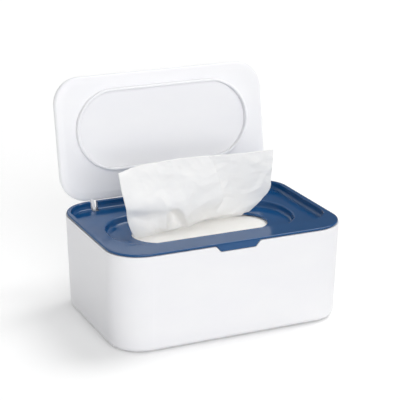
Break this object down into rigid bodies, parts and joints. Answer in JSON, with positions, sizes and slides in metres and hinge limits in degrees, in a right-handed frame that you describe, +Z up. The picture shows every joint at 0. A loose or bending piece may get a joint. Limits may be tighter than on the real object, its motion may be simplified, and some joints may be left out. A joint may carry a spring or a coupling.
{
  "type": "countertop wipes dispenser",
  "caption": "Open rectangular wipes box: tapered tub, dark drop-in frame with a long oval opening, hinged lid with a sealing ring, and a wipe pulled up.",
  "frame": {"origin": "on the surface that the feet stand on, under the middle of the tub", "axes": "+Z up, +X along the length to the right as seen from the front, +Y to the hinge side at the back"},
  "size_m": [0.19, 0.1534, 0.1747],
  "materials": {
    "tub_plastic": "white moulded plastic, satin gloss",
    "cover_plastic": "navy moulded plastic, polished",
    "lid_plastic": "white moulded plastic, satin gloss",
    "seal_silicone": "white silicone",
    "pin_steel": "plain ground steel",
    "foot_rubber": "grey soft rubber",
    "stack_cloth": "ivory non-woven cloth, folded stack",
    "wipe_cloth": "white non-woven cloth"
  },
  "bodies": {
    "tub": {"tub": "tub_plastic", "foot_front_left": "foot_rubber", "foot_front_right": "foot_rubber", "foot_rear_left": "foot_rubber", "foot_rear_right": "foot_rubber", "wipes_stack": "stack_cloth"},
    "cover": {"cover": "cover_plastic", "hinge_pin_left": "pin_steel", "hinge_pin_right": "pin_steel", "pulled_wipe": "wipe_cloth"},
    "lid": {"lid_liner": "lid_plastic", "lid_shell": "lid_plastic", "lid_seal": "seal_silicone"}
  },
  "joints": [
    {"name": "cover_lift", "type": "slide", "parent": "tub", "child": "cover", "axis": [0, 0, 1], "range_m": [0, 0.06]},
    {"name": "lid_hinge", "type": "hinge", "parent": "cover", "child": "lid", "pos_m": [0, 0.0634, 0.0717], "axis": [1, 0, 0], "range_deg": [0, 99.9], "deforming": ["pulled_wipe"]}
  ]
}
